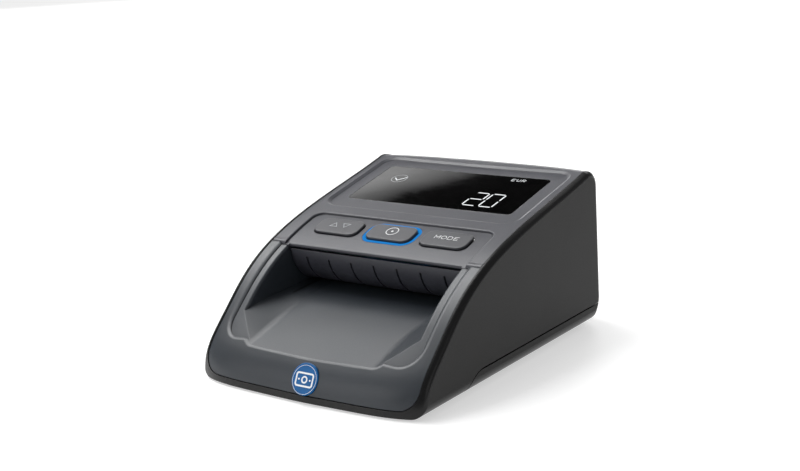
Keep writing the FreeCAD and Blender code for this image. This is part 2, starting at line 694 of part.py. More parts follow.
def drive_rollers(y):
    made = []
    for x in ROLLER_X:
        tyre = rod_x(x - ROLLER_HALF, x + ROLLER_HALF, y, SHAFT_Z, DRIVE_R)
        tyre = tyre.makeChamfer(0.5, [e for e in tyre.Edges if e.Closed])
        cuts = [rod_x(x - 10, x + 10, y, SHAFT_Z, SHAFT_R)]
        for side in (-4.2, -1.4, 1.4, 4.2):
            ring = rod_x(x + side - 0.35, x + side + 0.35, y, SHAFT_Z, DRIVE_R + 1)
            cuts.append(ring.cut(rod_x(x + side - 0.35, x + side + 0.35, y, SHAFT_Z, DRIVE_R - 0.5)))
        made.append(tyre.cut(cuts))
    return made


def pulley(y, z, bore, radius):
    """Toothed belt pulley with a flange on each side."""
    body = rod_x(BELT_X0 - 0.2, BELT_X1 + 0.2, y, z, radius - 0.2)
    flanges = [rod_x(BELT_X0 - 0.8, BELT_X0 - 0.2, y, z, radius + 1.4),
               rod_x(BELT_X1 + 0.2, BELT_X1 + 0.8, y, z, radius + 1.4)]
    body = body.fuse(flanges)
    teeth = int(radius * 3)
    notches = [rod_x(BELT_X0 - 0.2, BELT_X1 + 0.2, y + radius * math.cos(2 * math.pi * i / teeth),
                     z + radius * math.sin(2 * math.pi * i / teeth), 0.55) for i in range(teeth)]
    return body.cut(notches + [rod_x(-64, -50, y, z, bore)])


def belt_wheel(y, z, radius):
    return Part.makeCylinder(radius, BELT_X1 - BELT_X0, Vector(BELT_X0, y, z), Vector(1, 0, 0))


def belt_loop(grow):
    """Solid whose side view is the taut loop round the three pulleys."""
    wheels = [(FRONT_SHAFT_Y, SHAFT_Z, SHAFT_PULLEY_R + grow), (REAR_SHAFT_Y, SHAFT_Z, SHAFT_PULLEY_R + grow),
              (MOTOR_Y, MOTOR_Z, MOTOR_PULLEY_R + grow)]
    corners = []
    for i, (y0, z0, r0) in enumerate(wheels):
        y1, z1, r1 = wheels[(i + 1) % 3]
        dy = y1 - y0
        dz = z1 - z0
        length = math.hypot(dy, dz)
        turn = math.atan2(dz, dy) + math.acos((r0 - r1) / length)
        corners.append((y0 + r0 * math.cos(turn), z0 + r0 * math.sin(turn)))
        corners.append((y1 + r1 * math.cos(turn), z1 + r1 * math.sin(turn)))
    solid = prism_x(corners, BELT_X0, BELT_X1)
    return solid.fuse([belt_wheel(*w) for w in wheels])


def drive_belt():
    return belt_loop(1.0).cut(belt_loop(0.0)).removeSplitter()


def motor_body():
    can = rod_x(-CHEEK_X + 0.0, -CHEEK_X + 30, MOTOR_Y, MOTOR_Z, MOTOR_R)
    can = can.makeFillet(1.0, [e for e in can.Edges if e.Closed and e.BoundBox.XMin > -CHEEK_X + 20])
    boss = rod_x(-CHEEK_X - 0.1 + 30, -CHEEK_X + 32, MOTOR_Y, MOTOR_Z, 3.5)
    flats = [box(-60, 0, MOTOR_Y - 15, MOTOR_Y + 15, MOTOR_Z + 7.6, MOTOR_Z + 12),
             box(-60, 0, MOTOR_Y - 15, MOTOR_Y + 15, MOTOR_Z - 12, MOTOR_Z - 7.6)]
    return can.fuse(boss).cut(flats).cut(rod_x(-60, -CHEEK_X + 12, MOTOR_Y, MOTOR_Z, 1.0 + RUN))


def motor_shaft():
    return rod_x(-60.2, -CHEEK_X + 11.5, MOTOR_Y, MOTOR_Z, 1.0)


def encoder_disc():
    disc = rod_x(55.6, 56.4, FRONT_SHAFT_Y, SHAFT_Z, 8.5)
    hub = rod_x(54.6, 57.6, FRONT_SHAFT_Y, SHAFT_Z, 3.4)
    slots = []
    for i in range(16):
        slot = box(55, 57, -0.5, 0.5, 5.4, 7.6)
        slot.rotate(Vector(0, 0, 0), Vector(1, 0, 0), i * 22.5)
        slot.translate(Vector(0, FRONT_SHAFT_Y, SHAFT_Z))
        slots.append(slot)
    return disc.fuse(hub).cut(slots + [rod_x(50, 60, FRONT_SHAFT_Y, SHAFT_Z, SHAFT_R)])


def encoder_sensor():
    """Forked light barrier round the rim of the encoder disc, screwed to the frame's cheek."""
    y = FRONT_SHAFT_Y
    fork = box(CHEEK_X + 2, 59.6, y - 3.5, y + 3.5, 12.4, 20.2)
    slot = box(54.2, 57.8, y - 4, y + 4, 14.8, 21)
    return fork.cut(slot)


# ---------------------------------------------------------------- electronics and rear end
JACK_X = 30.0
JACK_Z = 16.6
USB_X = 8.0
USB_Z = 12.3
CARD_X = -7.0
CARD_Z = 12.2
BOARD_Z = 9.0
BOARD_T = 1.4
RELEASE_HALF = 13.0
RELEASE_H = 9.0
RELEASE_Z = 62.5
SPRING_X = (-8.0, 8.0)
SPRING_Z = 60.7
REST_Y = 62.5


def main_board():
    board = box(-15, 43.5, -4, 79, BOARD_Z, BOARD_Z + BOARD_T)
    board = board.makeFillet(2.0, upright_edges(board, Vector(0, 0, 1)))
    return board.cut([rod_z(5, 12, x, y, 1.1) for x, y in BOARD_XY])


def board_parts():
    z = BOARD_Z + BOARD_T
    made = []
    # x, y, length, width, height of each chip, coil and connector
    for x, y, a, b, h in [(12, 24, 14, 14, 1.4), (30, 22, 8, 12, 1.6), (10, 48, 10, 6, 1.2), (30, 42, 6, 6, 3.0),
                          (-6, 22, 5, 16, 4.5), (-6, 50, 5, 12, 4.5), (20, 64, 8, 5, 1.2)]:
        part = box(x - a / 2, x + a / 2, y - b / 2, y + b / 2, z, z + h)
        made.append(part.makeChamfer(0.3, part.Edges))
    for x, y in [(34, 54), (24, 54)]:
        can = rod_z(z, z + 7, x, y, 2.6)
        made.append(can.makeFillet(0.4, [e for e in can.Edges if e.Closed and e.BoundBox.ZMin > z + 6]))
    return made


def board_screws():
    made = []
    z = BOARD_Z + BOARD_T
    for x, y in BOARD_XY:
        head = rod_z(z, z + 1.4, x, y, 2.2)
        head = head.makeFillet(0.5, [e for e in head.Edges if e.Closed and e.BoundBox.ZMin > z + 1])
        cross = [box(x - 1.2, x + 1.2, y - 0.25, y + 0.25, z + 0.7, z + 2),
                 box(x - 0.25, x + 0.25, y - 1.2, y + 1.2, z + 0.7, z + 2)]
        made.append(head.fuse(rod_z(4.2, z, x, y, 1.1)).cut(cross))
    return made


def dc_jack():
    z = BOARD_Z + BOARD_T
    body = box(JACK_X - 4.5, JACK_X + 4.5, 70, 80.2, z, z + 11)
    collar = rod_y(80.1, 82.6, JACK_X, JACK_Z, 3.9)
    body = body.fuse(collar).cut(rod_y(73, 90, JACK_X, JACK_Z, 2.85))
    return body.fuse(rod_y(72.5, 82.0, JACK_X, JACK_Z, 1.0))


def usb_port():
    z = BOARD_Z + BOARD_T
    shell = box(USB_X - 4.4, USB_X + 4.4, 74, 83.0, z, z + 3.4)
    shell = shell.makeFillet(1.2, upright_edges(shell, Vector(0, 1, 0)))
    hollow = box(USB_X - 4.0, USB_X + 4.0, 75, 90, z + 0.4, z + 3.0)
    hollow = hollow.makeFillet(0.9, upright_edges(hollow, Vector(0, 1, 0)))
    tongue = box(USB_X - 3.2, USB_X + 3.2, 74.5, 81.5, z + 1.35, z + 2.05)
    return shell.cut(hollow).fuse(tongue)


def card_slot():
    """Memory card reader on the main board, open to the rear."""
    frame = box(CARD_X - 7.4, CARD_X + 7.4, 67.0, 81.0, BOARD_Z + BOARD_T, CARD_Z + 1.8)
    return frame.cut(box(CARD_X - 6.2, CARD_X + 6.2, 68.0, 90, CARD_Z - 0.7, CARD_Z + 0.7))


def magnetic_heads():
    made = []
    for x in (-12, 12):
        head = box(x - 7, x + 7, 37, 42, 24.5, PATH_Z - 0.2)
        made.append(head.makeFillet(1.2, [e for e in head.Edges if e.BoundBox.ZMin > PATH_Z - 0.3
                                          and e.BoundBox.XLength > 5]))
    return made


def release_button():
    """Push button in the rear wall with the latch bar that it carries."""
    face = REAR - 0.1
    cap = box(-RELEASE_HALF, RELEASE_HALF, 79.4, face, RELEASE_Z - RELEASE_H / 2, RELEASE_Z + RELEASE_H / 2)
    cap = cap.makeFillet(0.6, [e for e in cap.Edges if e.BoundBox.YMin > face - 0.1]
                         + upright_edges(cap, Vector(0, 1, 0)))
    dish = Part.makeCylinder(30, 60, Vector(-30, face + 29.0, RELEASE_Z), Vector(1, 0, 0))
    cap = cap.cut(dish.common(box(-RELEASE_HALF + 2, RELEASE_HALF - 2, 70, 90, 0, 100)))
    stem = box(-11, 11, 72.8, 79.5, 60.4, 62.4)
    bar = box(-LATCH_HALF, LATCH_HALF, 70.6, 73.1, 59.0, 62.4)
    pegs = [rod_y(68.2, 71.0, x, SPRING_Z, 1.2) for x in SPRING_X]
    return cap.fuse([stem, bar] + pegs).removeSplitter()


def release_springs():
    made = []
    for x in SPRING_X:
        coil = Part.makeHelix(0.8, 3.0, 2.4)
        coil.rotate(Vector(0, 0, 0), Vector(1, 0, 0), -90)
        coil.translate(Vector(x, REST_Y + 1.8, SPRING_Z))
        start = coil.Vertexes[0].Point
        wire = Part.Wire(coil.Edges)
        ring = Part.Wire(Part.Circle(start, Vector(0, 1, 0), 0.3).toShape())
        made.append(wire.makePipeShell([ring], True, True))
    return made


def spring_rest():
    """Bracket on the rear wall that the release springs push against. Its arms pass under the latch bar."""
    wall = box(-12, 12, REST_Y, REST_Y + 1.4, 56.2, 64.0)
    arms = both_sides(box(6, 12, REST_Y, REAR, 56.2, 57.6).common(INNER))
    pegs = [rod_y(REST_Y + 1.3, REST_Y + 2.7, x, SPRING_Z, 1.2) for x in SPRING_X]
    return wall.fuse(arms + pegs).removeSplitter()


def battery_pack():
    made = []
    for i in range(4):
        y = -60.6 + 7.9 * i
        cell = rod_x(-30, 30, y + 0.0, 7.6, 3.9)
        made.append(cell)
    pack = made[0].fuse(made[1:]).fuse(box(-30, 30, -60.6, -36.9, 4.6, 10.6))
    return pack


def battery_cover():
    plate = box(-BATTERY_X, BATTERY_X, BATTERY_Y0, BATTERY_Y1, FOOT_H, 2.8)
    plate = plate.makeChamfer(0.4, [e for e in plate.Edges if e.BoundBox.ZMax < FOOT_H + 0.1])
    grips = [box(-14 + 4 * i, -12.6 + 4 * i, -38, -34, 0.8, 1.5) for i in range(8)]
    return plate.cut(grips)


def rubber_feet():
    made = []
    for x in (-49, 49):
        for y in (-60, 56):
            foot = rod_z(0, FOOT_H, x, y, 5.0)
            made.append(foot.makeFillet(0.4, [e for e in foot.Edges if e.Closed and e.BoundBox.ZMax < 0.1]))
    return made


def base_screws():
    made = []
    for x, y in SCREW_XY:
        head = rod_z(1.1, 2.2, x, y, 2.8)
        cross = [box(x - 1.5, x + 1.5, y - 0.3, y + 0.3, 0, 1.7), box(x - 0.3, x + 0.3, y - 1.5, y + 1.5, 0, 1.7)]
        made.append(head.fuse(rod_z(2.2, 13.0, x, y, 1.2)).cut(cross))
    return made


def hinge_pins():
    return both_sides(rod_x(55.8, PIN_END, HINGE_Y, HINGE_Z, PIN_R))


def badge():
    disc = rod_z(-1.0, 0.3, 0, 0, BADGE_R)
    disc = disc.makeChamfer(0.25, [e for e in disc.Edges if e.Closed and e.BoundBox.ZMin > 0.2])
    return place_on_apron(disc)


save("base_pan", base_pan())
save("outer_housing", outer_housing())
save("front_tray", front_tray())
save("front_badge", badge())
save("top_cover", top_cover())
save("display_lens", display_lens())
save("lcd_module", lcd_module())
save("button_up_down", button(-1))
save("button_power", button(0))
save("button_mode", button(1))
save("power_ring_light", power_ring_light())
save("control_board", control_board())
save_group("tact_switches", tact_switches())
save("upper_guide", upper_guide())
save("cover_frame", cover_frame())
save_group("cover_screws", cover_screws())
save("front_pinch_rollers", pinch_rollers(FRONT_SHAFT_Y))
save("rear_pinch_rollers", pinch_rollers(REAR_SHAFT_Y))
save_group("pinch_springs", pinch_springs())
save("upper_sensor_bar", sensor_bar(UPPER_Z + 1.8, UPPER_Z + 11))
save("upper_sensor_glass", sensor_glass(UPPER_Z, UPPER_Z + 1.6))
save("transport_frame", transport_frame())
save_group("shaft_bushes", shaft_bushes())
save("front_drive_shaft", drive_shaft(FRONT_SHAFT_Y))
save("rear_drive_shaft", drive_shaft(REAR_SHAFT_Y))
save_group("front_drive_rollers", drive_rollers(FRONT_SHAFT_Y))
save_group("rear_drive_rollers", drive_rollers(REAR_SHAFT_Y))
save("front_pulley", pulley(FRONT_SHAFT_Y, SHAFT_Z, SHAFT_R, SHAFT_PULLEY_R))
save("rear_pulley", pulley(REAR_SHAFT_Y, SHAFT_Z, SHAFT_R, SHAFT_PULLEY_R))
save("motor_pulley", pulley(MOTOR_Y, MOTOR_Z, 1.0, MOTOR_PULLEY_R))
save("motor_shaft", motor_shaft())
save("motor_body", motor_body())
save("drive_belt", drive_belt())
save("encoder_disc", encoder_disc())
save("encoder_sensor", encoder_sensor())
save("lower_sensor_bar", sensor_bar(20.0, PATH_Z - 1.7))
save("lower_sensor_glass", sensor_glass(PATH_Z - 1.5, PATH_Z))
save_group("magnetic_heads", magnetic_heads())
save("main_board", main_board())
save_group("board_parts", board_parts())
save_group("board_screws", board_screws())
save("dc_jack", dc_jack())
save("usb_port", usb_port())
save("card_slot", card_slot())
save("release_button", release_button())
save_group("release_springs", release_springs())
save("spring_rest", spring_rest())
save("battery_pack", battery_pack())
save("battery_cover", battery_cover())
save_group("rubber_feet", rubber_feet())
save_group("base_screws", base_screws())
save_group("hinge_pins", hinge_pins())

button_point, button_slope = crown_frame(BUTTON_Y, PANEL_INSET)
print("hinge axis y, z", round(HINGE_Y, 3), round(HINGE_Z, 3))
print("button seat y, z and slope", round(button_point.y, 3), round(button_point.z, 3), round(button_slope, 3))
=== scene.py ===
"""Banknote counting machine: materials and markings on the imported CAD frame, and the studio."""
import json
import math

import bmesh
import bpy
from mathutils import Matrix, Vector
from mathutils.bvhtree import BVHTree


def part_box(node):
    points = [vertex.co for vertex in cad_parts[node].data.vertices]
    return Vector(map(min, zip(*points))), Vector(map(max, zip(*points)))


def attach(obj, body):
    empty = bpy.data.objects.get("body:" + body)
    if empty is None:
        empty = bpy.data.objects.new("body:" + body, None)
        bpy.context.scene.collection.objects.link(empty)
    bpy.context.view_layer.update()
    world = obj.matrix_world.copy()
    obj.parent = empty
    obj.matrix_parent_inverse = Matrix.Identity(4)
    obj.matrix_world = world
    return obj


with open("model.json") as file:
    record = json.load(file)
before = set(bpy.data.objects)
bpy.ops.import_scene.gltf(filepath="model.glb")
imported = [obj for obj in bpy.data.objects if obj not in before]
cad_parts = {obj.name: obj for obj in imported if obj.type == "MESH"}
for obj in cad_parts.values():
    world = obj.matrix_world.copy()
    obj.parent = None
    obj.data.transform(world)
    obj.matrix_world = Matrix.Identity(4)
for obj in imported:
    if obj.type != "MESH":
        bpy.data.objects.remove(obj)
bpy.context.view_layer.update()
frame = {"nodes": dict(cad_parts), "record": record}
nodes = frame["nodes"]

MM = 0.001
BLACK = (0.0015, 0.0015, 0.0015)
WHITE = (1.0, 1.0, 1.0, 1.0)
NOISE_LOW = 0.3         # most of a noise texture's values lie between these two
NOISE_HIGH = 0.7


# ---------------------------------------------------------------- materials
class Paint:
    """One procedural material, with short calls that add nodes to it."""

    def __init__(self, name, colour, roughness, **constants):
        self.material = bpy.data.materials.new(name)
        self.material.use_nodes = True
        self.tree = self.material.node_tree
        self.shader = self.tree.nodes["Principled BSDF"]
        self.set("Base Color", (*colour, 1.0))
        self.set("Roughness", roughness)
        for socket, value in constants.items():
            self.set(socket.replace("_", " "), value)

    def set(self, socket, value):
        self.shader.inputs[socket].default_value = value

    def add(self, kind, inputs=None, **settings):
        node = self.tree.nodes.new(kind)
        for key, value in settings.items():
            setattr(node, key, value)
        for key, value in (inputs or {}).items():
            if isinstance(value, bpy.types.NodeSocket):
                self.tree.links.new(value, node.inputs[key])
            else:
                node.inputs[key].default_value = value
        return node

    def feed(self, source, socket):
        self.tree.links.new(source, self.shader.inputs[socket])

    def place(self):
        return self.add("ShaderNodeTexCoord").outputs["Object"]

    def noise(self, scale, detail=2.0, rough=0.5, stretch=None):
        where = self.place()
        if stretch:
            where = self.add("ShaderNodeMapping", {"Vector": where, "Scale": stretch}).outputs[0]
        return self.add("ShaderNodeTexNoise", {"Vector": where, "Scale": scale, "Detail": detail,
                                               "Roughness": rough}).outputs["Fac"]

    def cells(self, scale):
        """Distance to the nearest point of a scattered set."""
        inputs = {"Vector": self.place(), "Scale": scale}
        return self.add("ShaderNodeTexVoronoi", inputs).outputs["Distance"]

    def remap(self, value, low, high, to_low=0.0, to_high=1.0):
        return self.add("ShaderNodeMapRange", {"Value": value, "From Min": low, "From Max": high,
                                               "To Min": to_low, "To Max": to_high}).outputs[0]

    def math(self, operation, a, b=0.0):
        return self.add("ShaderNodeMath", {0: a, 1: b}, operation=operation).outputs[0]

    def blend(self, factor, a, b):
        """Colour a where the factor is 0 and b where it is 1."""
        node = self.add("ShaderNodeMix", data_type="RGBA")
        for index, value in ((0, factor), (6, a), (7, b)):
            if isinstance(value, bpy.types.NodeSocket):
                self.tree.links.new(value, node.inputs[index])
            elif index == 0:
                node.inputs[index].default_value = value
            else:
                node.inputs[index].default_value = (*value, 1.0)
        return node.outputs[2]

    def bump(self, height, strength, distance, normal=None):
        inputs = {"Height": height, "Strength": strength, "Distance": distance}
        if normal:
            inputs["Normal"] = normal
        return self.add("ShaderNodeBump", inputs).outputs[0]

    def soft_edges(self, radius):
        return self.add("ShaderNodeBevel", {"Radius": radius}, samples=6).outputs[0]

    def painted_seam_shade(self, reach=1.0 * MM, depth=0.30):
        """Painted shade factor from ambient occlusion: 1 on open surfaces, falling to the depth
        given in crevices and tight corners where shade falls.
        """
        open_sky = self.add("ShaderNodeAmbientOcclusion", {"Distance": reach}, samples=8)
        return self.remap(open_sky.outputs["AO"], 0.45, 0.85, depth, 1.0)

    def with_painted_seam_shade(self, colour, *shade_args):
        """The colour with painted shade: darkened towards black by ambient occlusion in crevices
        and tight corners.
        """
        return self.blend(self.painted_seam_shade(*shade_args), BLACK, colour)

    def speckle(self, noise, low=0.0, high=1.0):
        """Noise stretched to run from low to high."""
        return self.remap(noise, NOISE_LOW, NOISE_HIGH, low, high)

    def facing(self, axis):
        """One coordinate of the surface's normal, in the row frame."""
        normal = self.add("ShaderNodeNewGeometry").outputs["Normal"]
        return self.add("ShaderNodeSeparateXYZ", {0: normal}).outputs[axis]


def tinted(colour, factor):
    """The colour, darker below a factor of 1 and lighter above it."""
    return [min(1.0, c * factor) for c in colour]


def moulded(name, colour, roughness, grain, depth, edge=0.35):
    """Moulded plastic: fine spark-erosion grain, faint patches in tone and gloss, soft edges, and
    painted shade darkening the colour in crevices and tight corners.

    The grain is its noise scale. The depth of the grain and the edges' radius are in millimetres.
    """
    paint = Paint(name, colour, roughness)
    patches = paint.noise(38.0, 4.0, 0.6)
    fine = paint.noise(grain, 3.0, 0.6)
    tone = paint.blend(paint.speckle(patches), tinted(colour, 0.90), tinted(colour, 1.10))
    # painted shade: ambient occlusion darkens the tone towards black in crevices, joins between
    # parts and tight corners
    paint.feed(paint.with_painted_seam_shade(tone), "Base Color")
    gloss = paint.speckle(patches, roughness - 0.03, roughness + 0.03)
    paint.feed(paint.math("ADD", paint.speckle(fine, -0.06, 0.06), gloss), "Roughness")
    paint.feed(paint.bump(fine, 0.5, depth * MM, paint.soft_edges(edge * MM)), "Normal")
    return paint.material


def black_textured(name):
    """Case black: coarse grain on the flat sides, smoother and darker round the rim, with strong
    painted shade in crevices and tight corners.
    """
    base = (0.0130, 0.0129, 0.0127)
    rim = (0.0035, 0.0035, 0.0038)
    paint = Paint(name, base, 0.5, Specular_IOR_Level=0.30)
    rim_roughness = 0.26
    # 1 where a wall faces straight along X or Y, falling to 0 as it turns at its edges
    across = paint.math("ABSOLUTE", paint.facing("X"))
    along = paint.math("ABSOLUTE", paint.facing("Y"))
    flat = paint.remap(paint.math("MAXIMUM", across, along), 0.988, 0.997)
    patches = paint.noise(30.0, 4.0, 0.6)
    coarse = paint.noise(1500.0, 4.0, 0.65)
    mix = paint.remap(paint.math("MULTIPLY", coarse, patches), 0.12, 0.38)
    mottled = paint.blend(mix, tinted(base, 0.86), tinted(base, 1.14))
    # painted shade: ambient occlusion over 1.6 mm darkens the colour towards black in crevices,
    # joins between parts and tight corners
    paint.feed(paint.with_painted_seam_shade(paint.blend(flat, rim, mottled), 1.6 * MM, 0.15), "Base Color")
    rougher = paint.math("SUBTRACT", paint.speckle(coarse, 0.50, 0.62), rim_roughness)
    roughness = paint.math("ADD", paint.math("MULTIPLY", flat, rougher), rim_roughness)
    paint.feed(roughness, "Roughness")
    height = paint.math("MULTIPLY", coarse, paint.remap(flat, 0.0, 1.0, 0.15, 1.0))
    paint.feed(paint.bump(height, 0.6, 0.05 * MM, paint.soft_edges(0.35 * MM)), "Normal")
    return paint.material


def gloss_lens(name):
    paint = Paint(name, (0.0004, 0.0004, 0.0005), 0.04, IOR=1.48)
    smear = paint.noise(120.0, 3.0, 0.6, (1.0, 3.0, 1.0))
    paint.feed(paint.remap(smear, 0.35, 0.75, 0.035, 0.075), "Roughness")
    tint = paint.speckle(paint.noise(60.0))
    paint.feed(paint.blend(tint, (0.0003, 0.0003, 0.0004), (0.0005, 0.0005, 0.0006)), "Base Color")
    paint.feed(paint.soft_edges(0.25 * MM), "Normal")
    return paint.material


def glowing(name, colour, strength):
    """A lit area: a diffuser with slight unevenness in its glow."""
    paint = Paint(name, colour, 0.6, Specular_IOR_Level=0.05)
    patch = paint.speckle(paint.noise(700.0), 0.93, 1.0)
    paint.feed(paint.blend(patch, tinted(colour, 0.10), tinted(colour, 0.15)), "Base Color")
    paint.feed(paint.blend(patch, tinted(colour, 0.85), colour), "Emission Color")
    paint.set("Emission Strength", strength)
    return paint.material


def printed(name, colour):
    """Pad-printed ink with a fine dot of unevenness."""
    paint = Paint(name, colour, 0.45)
    ink = paint.speckle(paint.noise(2500.0))
    paint.feed(paint.blend(ink, tinted(colour, 0.90), colour), "Base Color")
    paint.feed(paint.bump(ink, 0.2, 0.005 * MM), "Normal")
    return paint.material


def badge_blue(name):
    paint = Paint(name, (0.003, 0.100, 0.30), 0.34, Specular_IOR_Level=0.25)
    sheen = paint.speckle(paint.noise(180.0, 3.0))
    paint.feed(paint.blend(sheen, (0.0025, 0.090, 0.27), (0.0035, 0.110, 0.33)), "Base Color")
    paint.feed(paint.soft_edges(0.3 * MM), "Normal")
    return paint.material


def metal(name, colour, roughness, stretch):
    """Turned, ground or plated metal with fine lines along one direction."""
    paint = Paint(name, colour, roughness, Metallic=1.0)
    lines = paint.noise(900.0, 4.0, 0.6, stretch)
    stains = paint.noise(90.0, 4.0, 0.6)
    stained = paint.remap(stains, 0.35, 0.75)
    paint.feed(paint.blend(stained, colour, tinted(colour, 0.82)), "Base Color")
    paint.feed(paint.speckle(lines, roughness - 0.08, roughness + 0.10), "Roughness")
    paint.feed(paint.bump(lines, 0.25, 0.01 * MM, paint.soft_edges(0.15 * MM)), "Normal")
    return paint.material


def rubber(name, colour, roughness):
    paint = Paint(name, colour, roughness, Specular_IOR_Level=0.35)
    dust = paint.noise(260.0, 5.0, 0.65)
    pores = paint.cells(2200.0)
    dusty = [c * 1.6 + 0.01 for c in colour]
    paint.feed(paint.blend(paint.remap(dust, 0.45, 0.8), colour, dusty), "Base Color")
    paint.feed(paint.speckle(dust, roughness - 0.06, roughness + 0.08), "Roughness")
    paint.feed(paint.bump(pores, 0.3, 0.02 * MM, paint.soft_edges(0.2 * MM)), "Normal")
    return paint.material


def circuit_board(name):
    """Green solder mask with copper tracks showing through and pale solder pads."""
    paint = Paint(name, (0.010, 0.085, 0.035), 0.32, Coat_Weight=0.3)
    grid = {"Vector": paint.place(), "Scale": 260.0, "Mortar Size": 0.035, "Mortar": WHITE,
            "Color1": (0.0, 0.0, 0.0, 1.0), "Color2": (0.15, 0.15, 0.15, 1.0)}
    tracks = paint.add("ShaderNodeTexBrick", grid).outputs["Color"]
    level = paint.math("MULTIPLY", tracks, paint.remap(paint.noise(60.0), 0.40, 0.60))
    pads = paint.remap(paint.cells(420.0), 0.10, 0.13, 1.0, 0.0)
    mask = paint.blend(level, (0.008, 0.070, 0.030), (0.020, 0.160, 0.070))
    solder = (0.55, 0.50, 0.36)
    paint.feed(paint.blend(paint.math("MULTIPLY", pads, 0.8), mask, solder), "Base Color")
    paint.feed(paint.bump(paint.math("ADD", level, pads), 0.3, 0.03 * MM), "Normal")
    return paint.material


def sensor_glass(name):
    paint = Paint(name, (0.10, 0.13, 0.14), 0.06, Transmission_Weight=0.55, IOR=1.5)
    wipe = paint.noise(140.0, 4.0, 0.6, (4.0, 1.0, 1.0))
    paint.feed(paint.remap(wipe, 0.4, 0.75, 0.04, 0.14), "Roughness")
    paint.feed(paint.blend(wipe, (0.08, 0.11, 0.12), (0.13, 0.16, 0.17)), "Base Color")
    return paint.material


# Material: what makes it, and what its maker is given after the name
FINISHES = {
    "black_textured": (black_textured,),
    "grey_satin": (moulded, (0.029, 0.030, 0.040), 0.42, 2600.0, 0.012, 0.5),
    "tray_satin": (moulded, (0.023, 0.028, 0.035), 0.42, 2600.0, 0.012, 0.5),
    "guide_dark": (moulded, (0.033, 0.034, 0.044), 0.45, 2400.0, 0.02, 0.3),
    "key_grey": (moulded, (0.026, 0.027, 0.034), 0.38, 3000.0, 0.008, 0.3),
    "black_plain": (moulded, (0.026, 0.026, 0.028), 0.50, 1800.0, 0.02, 0.2),
    "lcd_dark": (moulded, (0.018, 0.018, 0.020), 0.30, 900.0, 0.005),
    "bush_white": (moulded, (0.72, 0.70, 0.65), 0.42, 1400.0, 0.01),
    "chip_black": (moulded, (0.022, 0.022, 0.023), 0.42, 2600.0, 0.02, 0.15),
    "battery_wrap": (moulded, (0.050, 0.115, 0.300), 0.30, 500.0, 0.02),
    "gloss_lens": (gloss_lens,),
    "badge_blue": (badge_blue,),
    "circuit_board": (circuit_board,),
    "sensor_glass": (sensor_glass,),
    "ring_blue": (glowing, (0.001, 0.190, 0.56), 0.90),
    "screw_steel": (metal, (0.52, 0.52, 0.53), 0.30, (1.0, 1.0, 6.0)),
    "spring_steel": (metal, (0.56, 0.55, 0.53), 0.28, (6.0, 1.0, 1.0)),
    "shaft_steel": (metal, (0.60, 0.60, 0.61), 0.24, (0.3, 5.0, 5.0)),
    "motor_can": (metal, (0.50, 0.50, 0.50), 0.34, (5.0, 0.6, 0.6)),
    "brass": (metal, (0.78, 0.57, 0.27), 0.28, (0.5, 5.0, 5.0)),
    "roller_rubber": (rubber, (0.070, 0.072, 0.075), 0.72),
    "belt_rubber": (rubber, (0.020, 0.020, 0.021), 0.62),
    "foot_rubber": (rubber, (0.022, 0.022, 0.022), 0.80),
}
OWN_FINISH = {"front_tray": "tray_satin"}


def dress_cad_nodes():
    made = {}
    for entry in frame["record"]["subparts"]:
        finish = OWN_FINISH.get(entry["node"], entry["material_slot"])
        if finish not in made:
            maker, *values = FINISHES[finish]
            made[finish] = maker(finish, *values)
        materials = nodes[entry["node"]].data.materials
        materials.clear()
        materials.append(made[finish])


# ---------------------------------------------------------------- markings laid on the surfaces
def seat(x, y, z, slope):
    """Frame of a marking: X to the right, Y up the slope (in degrees), Z out of the surface."""
    return Matrix.Translation(Vector((x, y, z)) * MM) @ Matrix.Rotation(math.radians(slope), 4, "X")


SHARPEST_MITRE = 0.4    # keeps a sharp turn's corner from running far out


def stroke(points, width, closed=False):
    """Faces along a line of even width, mitred at its turns."""
    count = len(points)
    pairs = []
    for i, point in enumerate(points):
        here = Vector(point)
        runs = []
        if closed or i > 0:
            runs.append((here - Vector(points[i - 1])).normalized())
        if closed or i < count - 1:
            runs.append((Vector(points[(i + 1) % count]) - here).normalized())
        mean = sum(runs, Vector((0, 0))).normalized()
        normal = Vector((-mean.y, mean.x))
        stretch = 1.0 / max(SHARPEST_MITRE, normal.dot(Vector((-runs[0].y, runs[0].x))))
        aside = normal * width / 2 * stretch
        pairs.append((here + aside, here - aside))
    faces = []
    for i in range(count if closed else count - 1):
        left, right = pairs[i]
        next_left, next_right = pairs[(i + 1) % count]
        faces.append([left, right, next_right, next_left])
    return faces


def ring(x, y, radius, count=48):
    angles = [2 * math.pi * i / count for i in range(count)]
    return [(x + radius * math.cos(angle), y + radius * math.sin(angle)) for angle in angles]


def rounded(length, height, corner, steps=6):
    """Closed outline of a rounded rectangle about the origin."""
    points = []
    for quarter in range(4):
        x = (length / 2 - corner) * (1 if quarter in (0, 3) else -1)
        y = (height / 2 - corner) * (1 if quarter in (0, 1) else -1)
        for i in range(steps + 1):
            angle = math.pi / 2 * (quarter + i / steps)
            points.append((x + corner * math.cos(angle), y + corner * math.sin(angle)))
    return points


def segment(x0, y0, x1, y1, width):
    """One bar of a seven-segment digit, pointed at both ends."""
    start = Vector((x0, y0))
    run = (Vector((x1, y1)) - start).normalized()
    end = Vector((x1, y1))
    side = Vector((-run.y, run.x)) * width / 2
    tip = run * width / 2
    return [start, start + tip + side, end - tip + side, end, end - tip - side, start + tip - side]


# Bars of a seven-segment digit: a at the top, then clockwise to f, and g across the middle
LIT = {"0": "abcdef", "2": "abged"}
DIGIT_LENGTH = 7.4
DIGIT_HEIGHT = 14.0
DIGIT_LINE = 0.72
DIGIT_LEAN = 0.04


